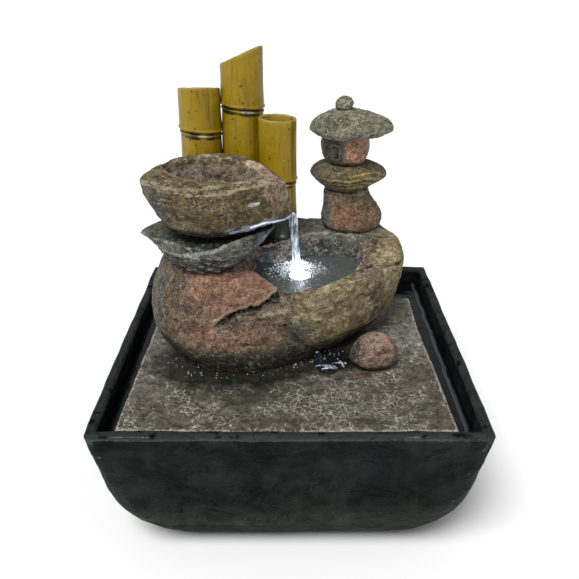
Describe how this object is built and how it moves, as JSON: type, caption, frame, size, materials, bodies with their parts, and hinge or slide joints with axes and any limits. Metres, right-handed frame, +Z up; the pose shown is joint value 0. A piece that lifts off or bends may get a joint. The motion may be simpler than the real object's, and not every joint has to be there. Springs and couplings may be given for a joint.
{
  "type": "tabletop water fountain",
  "caption": "Tabletop fountain: square dark basin with a slab, stacked boulders with an upper bowl and a lit lower pool, bamboo stalks, a stone lantern and a submersible pump.",
  "frame": {"origin": "centre of the footprint, on the surface that the feet stand on", "axes": "+X to the right and +Y away from a viewer who faces the pool, +Z up"},
  "size_m": [0.21, 0.21, 0.2553],
  "materials": {
    "basin_resin": "matte black slate look",
    "rubber_feet": "matte",
    "slab_resin": "matte cast resin stone with dry-brushed veins",
    "red_rock_resin": "matte cast resin stone, reddish brown",
    "dark_rock_resin": "matte cast resin stone, dark green-grey",
    "ochre_rock_resin": "matte cast resin stone, ochre and khaki",
    "grey_rock_resin": "matte cast resin stone, grey with khaki speckle",
    "pebble_resin": "matte cast resin stone",
    "bamboo_resin": "satin painted bamboo",
    "hose_vinyl": "translucent vinyl",
    "black_plastic": "semi-gloss",
    "grey_plastic": "semi-gloss",
    "white_plastic": "satin",
    "black_rubber": "matte",
    "light_lens": "clear, lit white",
    "board": "solder mask",
    "lead_sheath": "matte",
    "magnet": "ferrite, matte",
    "shaft_ceramic": "polished",
    "core_steel": "laminated",
    "coil_copper": "enamelled copper wire"
  },
  "bodies": {
    "basin": {"basin": "basin_resin", "foot_front_left": "rubber_feet", "foot_front_right": "rubber_feet", "foot_back_left": "rubber_feet", "foot_back_right": "rubber_feet"},
    "sculpture": {"base_slab": "slab_resin", "lower_rock": "red_rock_resin", "middle_rock": "dark_rock_resin", "upper_bowl": "ochre_rock_resin", "lantern_base_stone": "red_rock_resin", "lantern_disc": "grey_rock_resin", "lantern_chamber": "red_rock_resin", "lantern_roof": "grey_rock_resin", "lantern_finial": "grey_rock_resin", "front_pebble": "pebble_resin", "bamboo_left": "bamboo_resin", "bamboo_centre": "bamboo_resin", "bamboo_right": "bamboo_resin", "riser_hose": "hose_vinyl", "hose_nozzle": "black_plastic", "light_body": "black_plastic", "light_seal": "black_rubber", "light_board": "board", "light_lens": "light_lens", "light_clamp_ring": "grey_plastic", "light_lead": "lead_sheath", "light_lead_gland": "black_plastic", "pump_motor_housing": "black_plastic", "motor_core": "core_steel", "motor_coil": "coil_copper", "motor_back_plate": "grey_plastic", "pump_volute": "black_plastic", "pump_shaft": "shaft_ceramic", "pump_bush_front": "grey_plastic", "pump_bush_rear": "grey_plastic", "cord_gland": "black_plastic", "suction_cup_1": "black_rubber", "suction_cup_2": "black_rubber", "suction_cup_3": "black_rubber", "suction_cup_4": "black_rubber"},
    "rotor": {"pump_rotor": "magnet", "pump_impeller": "white_plastic"},
    "intake_cover": {"intake_cover": "black_plastic"},
    "flow_dial": {"flow_dial": "grey_plastic"}
  },
  "joints": [
    {"name": "sculpture_lift", "type": "slide", "parent": "basin", "child": "sculpture", "axis": [0, 0, 1], "range_m": [0, 0.1]},
    {"name": "impeller_spin", "type": "hinge", "parent": "sculpture", "child": "rotor", "pos_m": [-0.045, 0.0232, 0.03], "axis": [0, -1, 0], "continuous": true},
    {"name": "intake_cover_pull", "type": "slide", "parent": "sculpture", "child": "intake_cover", "axis": [0, -1, 0], "range_m": [0, 0.014]},
    {"name": "flow_dial_turn", "type": "hinge", "parent": "intake_cover", "child": "flow_dial", "pos_m": [-0.045, -0.0133, 0.03], "axis": [0, -1, 0], "range_deg": [0, 90]}
  ]
}
